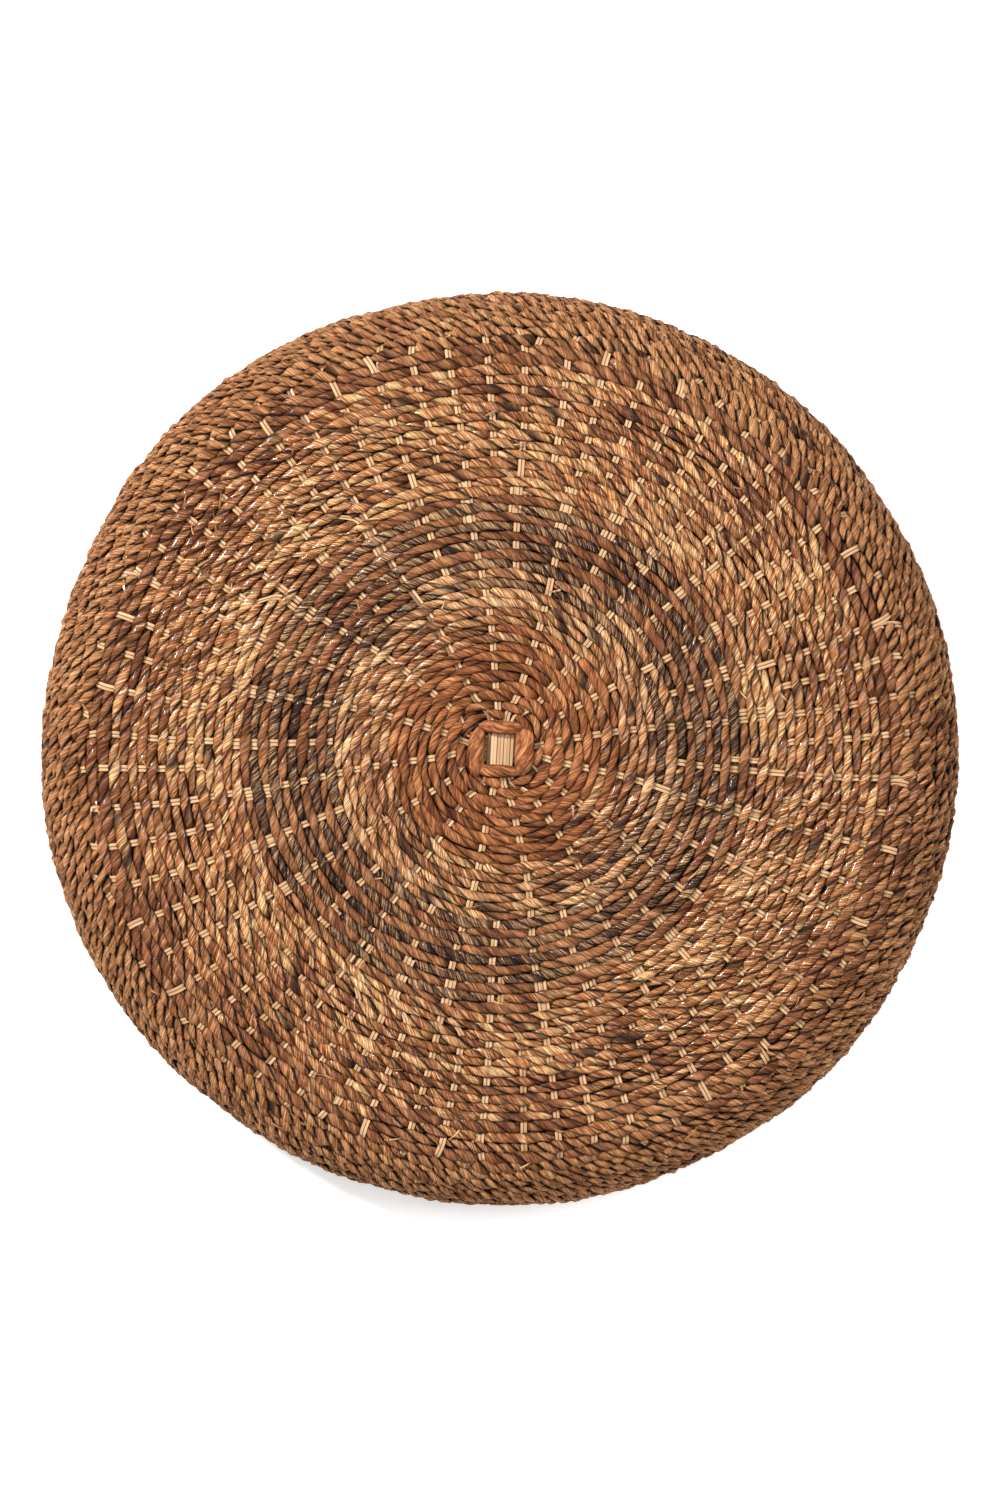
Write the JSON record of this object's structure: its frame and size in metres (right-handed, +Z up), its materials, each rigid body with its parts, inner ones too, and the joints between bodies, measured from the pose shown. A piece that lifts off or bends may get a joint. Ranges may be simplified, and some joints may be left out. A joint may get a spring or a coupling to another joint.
{
  "type": "chair seat pad",
  "caption": "Round flat chair seat pad, hand woven from twisted leaf cord over cane stakes, with a rounded rim and a soft filling.",
  "frame": {"origin": "centre of the underside, on the surface that the pad rests on", "axes": "+Z up, along the pad's axis, out of its crowned face; the upper splints of the cross run along Y, 3 degrees off it"},
  "size_m": [0.4212, 0.4212, 0.06],
  "materials": {
    "cane": "split cane, satin, with fine lengthwise fibres",
    "leaf_red_brown": "twisted leaf cord, matt, red-brown",
    "leaf_pale": "twisted leaf cord, slightly glossy, pale tan with near-black streaks",
    "leaf_dark": "twisted leaf cord, hairy, dark grey-brown",
    "leaf_golden": "twisted leaf cord, glossy, golden brown",
    "leaf_dull": "twisted leaf cord, matt, dull brown",
    "leaf_tan": "broad folded leaf cord, matt, tan",
    "filling": "soft fibre filling, matt, off-white"
  },
  "bodies": {
    "root": {"face_cross_upper_1": "cane", "face_cross_upper_2": "cane", "face_cross_upper_3": "cane", "face_cross_upper_4": "cane", "face_cross_lower_1": "cane", "face_cross_lower_2": "cane", "face_cross_lower_3": "cane", "face_cross_lower_4": "cane", "face_stake_01": "cane", "face_stake_02": "cane", "face_stake_03": "cane", "face_stake_04": "cane", "face_stake_05": "cane", "face_stake_06": "cane", "face_stake_07": "cane", "face_stake_08": "cane", "face_stake_09": "cane", "face_stake_10": "cane", "face_stake_11": "cane", "face_stake_12": "cane", "face_stake_13": "cane", "face_stake_14": "cane", "face_stake_15": "cane", "face_stake_16": "cane", "base_cross_upper_1": "cane", "base_cross_upper_2": "cane", "base_cross_upper_3": "cane", "base_cross_upper_4": "cane", "base_cross_lower_1": "cane", "base_cross_lower_2": "cane", "base_cross_lower_3": "cane", "base_cross_lower_4": "cane", "face_lashing": "leaf_red_brown", "base_lashing": "leaf_red_brown", "face_weave_centre": "leaf_red_brown", "face_weave_pale": "leaf_pale", "face_weave_dark": "leaf_dark", "face_weave_golden": "leaf_golden", "face_weave_dull": "leaf_dull", "shoulder_weave": "leaf_tan", "side_weave": "leaf_tan", "base_weave_centre": "leaf_red_brown", "base_weave_middle": "leaf_golden", "base_weave_outer": "leaf_tan", "rim_lacing": "leaf_tan", "filling_pad": "filling"}
  },
  "joints": []
}
